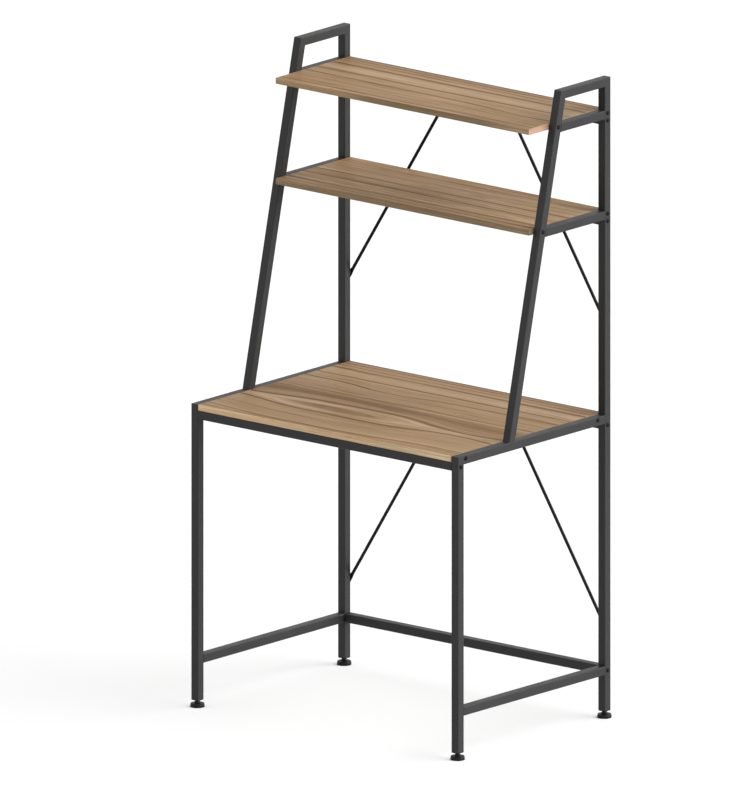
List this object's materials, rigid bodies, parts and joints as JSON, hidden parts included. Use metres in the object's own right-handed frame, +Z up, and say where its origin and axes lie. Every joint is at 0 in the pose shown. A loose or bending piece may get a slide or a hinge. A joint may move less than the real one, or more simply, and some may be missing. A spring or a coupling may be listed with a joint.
{
  "type": "writing desk with shelves",
  "caption": "Ladder-style writing desk: square steel tube frame, walnut-look desktop with a two-shelf hutch above it, rear brace rods and screw-adjustable levelling feet.",
  "frame": {"origin": "on the floor under the middle of the desk's bounding box", "axes": "+X to the user's right along the width, +Y from the user to the rear posts, +Z up"},
  "size_m": [0.855, 0.5868, 1.592],
  "materials": {
    "frame_steel": "fine satin powder coat, near-black grey",
    "walnut_board": "printed light walnut laminate, matt, grain along the width",
    "walnut_edge": "matching edge band, matt, slightly lighter",
    "brace_steel": "black powder coat",
    "screw_steel": "black oxide, satin",
    "zinc_steel": "zinc-plated",
    "insert_plastic": "moulded black nylon",
    "foot_plastic": "moulded black nylon, fine texture",
    "foot_steel": "blackened steel"
  },
  "bodies": {
    "frame": {"left_front_leg": "frame_steel", "left_rear_post": "frame_steel", "left_slanted_upright": "frame_steel", "left_top_bar": "frame_steel", "left_desk_side_rail": "frame_steel", "left_foot_side_rail": "frame_steel", "left_lower_shelf_side_rail": "frame_steel", "left_upper_shelf_side_rail": "frame_steel", "right_front_leg": "frame_steel", "right_rear_post": "frame_steel", "right_slanted_upright": "frame_steel", "right_top_bar": "frame_steel", "right_desk_side_rail": "frame_steel", "right_foot_side_rail": "frame_steel", "right_lower_shelf_side_rail": "frame_steel", "right_upper_shelf_side_rail": "frame_steel", "front_desk_rail": "frame_steel", "rear_desk_rail": "frame_steel", "rear_foot_rail": "frame_steel", "rear_lower_shelf_rail": "frame_steel", "rear_upper_shelf_rail": "frame_steel", "desktop": "walnut_board", "lower_shelf": "walnut_board", "upper_shelf": "walnut_board", "desktop_edge_bands": "walnut_edge", "lower_shelf_edge_bands": "walnut_edge", "upper_shelf_edge_bands": "walnut_edge", "upper_left_brace": "brace_steel", "upper_right_brace": "brace_steel", "lower_left_brace": "brace_steel", "lower_right_brace": "brace_steel", "front_left_leg_insert": "insert_plastic", "front_right_leg_insert": "insert_plastic", "rear_left_leg_insert": "insert_plastic", "rear_right_leg_insert": "insert_plastic", "rail_end_nuts": "zinc_steel", "board_insert_nuts": "zinc_steel", "brace_bushes": "zinc_steel", "insert_bushes": "zinc_steel", "board_screws": "screw_steel", "rail_screws": "screw_steel", "brace_screws": "screw_steel"},
    "front_left_pad": {"front_left_foot_pad": "foot_plastic"},
    "front_left_stud": {"front_left_foot_stud": "foot_steel"},
    "front_right_pad": {"front_right_foot_pad": "foot_plastic"},
    "front_right_stud": {"front_right_foot_stud": "foot_steel"},
    "rear_left_pad": {"rear_left_foot_pad": "foot_plastic"},
    "rear_left_stud": {"rear_left_foot_stud": "foot_steel"},
    "rear_right_pad": {"rear_right_foot_pad": "foot_plastic"},
    "rear_right_stud": {"rear_right_foot_stud": "foot_steel"}
  },
  "joints": [
    {"name": "front_left_foot_height", "type": "slide", "parent": "frame", "child": "front_left_pad", "axis": [0, 0, -1], "range_m": [0, 0.01]},
    {"name": "front_left_stud_turn", "type": "hinge", "parent": "front_left_pad", "child": "front_left_stud", "pos_m": [-0.41, -0.275, 0.0095], "axis": [0, 0, -1], "range_deg": [0, 3600]},
    {"name": "front_right_foot_height", "type": "slide", "parent": "frame", "child": "front_right_pad", "axis": [0, 0, -1], "range_m": [0, 0.01]},
    {"name": "front_right_stud_turn", "type": "hinge", "parent": "front_right_pad", "child": "front_right_stud", "pos_m": [0.41, -0.275, 0.0095], "axis": [0, 0, -1], "range_deg": [0, 3600]},
    {"name": "rear_left_foot_height", "type": "slide", "parent": "frame", "child": "rear_left_pad", "axis": [0, 0, -1], "range_m": [0, 0.01]},
    {"name": "rear_left_stud_turn", "type": "hinge", "parent": "rear_left_pad", "child": "rear_left_stud", "pos_m": [-0.41, 0.275, 0.0095], "axis": [0, 0, -1], "range_deg": [0, 3600]},
    {"name": "rear_right_foot_height", "type": "slide", "parent": "frame", "child": "rear_right_pad", "axis": [0, 0, -1], "range_m": [0, 0.01]},
    {"name": "rear_right_stud_turn", "type": "hinge", "parent": "rear_right_pad", "child": "rear_right_stud", "pos_m": [0.41, 0.275, 0.0095], "axis": [0, 0, -1], "range_deg": [0, 3600]}
  ],
  "couplings": [
    {"joint": "front_left_stud_turn", "follows": "front_left_foot_height", "rad_per_m": 5026.5},
    {"joint": "front_right_stud_turn", "follows": "front_right_foot_height", "rad_per_m": 5026.5},
    {"joint": "rear_left_stud_turn", "follows": "rear_left_foot_height", "rad_per_m": 5026.5},
    {"joint": "rear_right_stud_turn", "follows": "rear_right_foot_height", "rad_per_m": 5026.5}
  ]
}
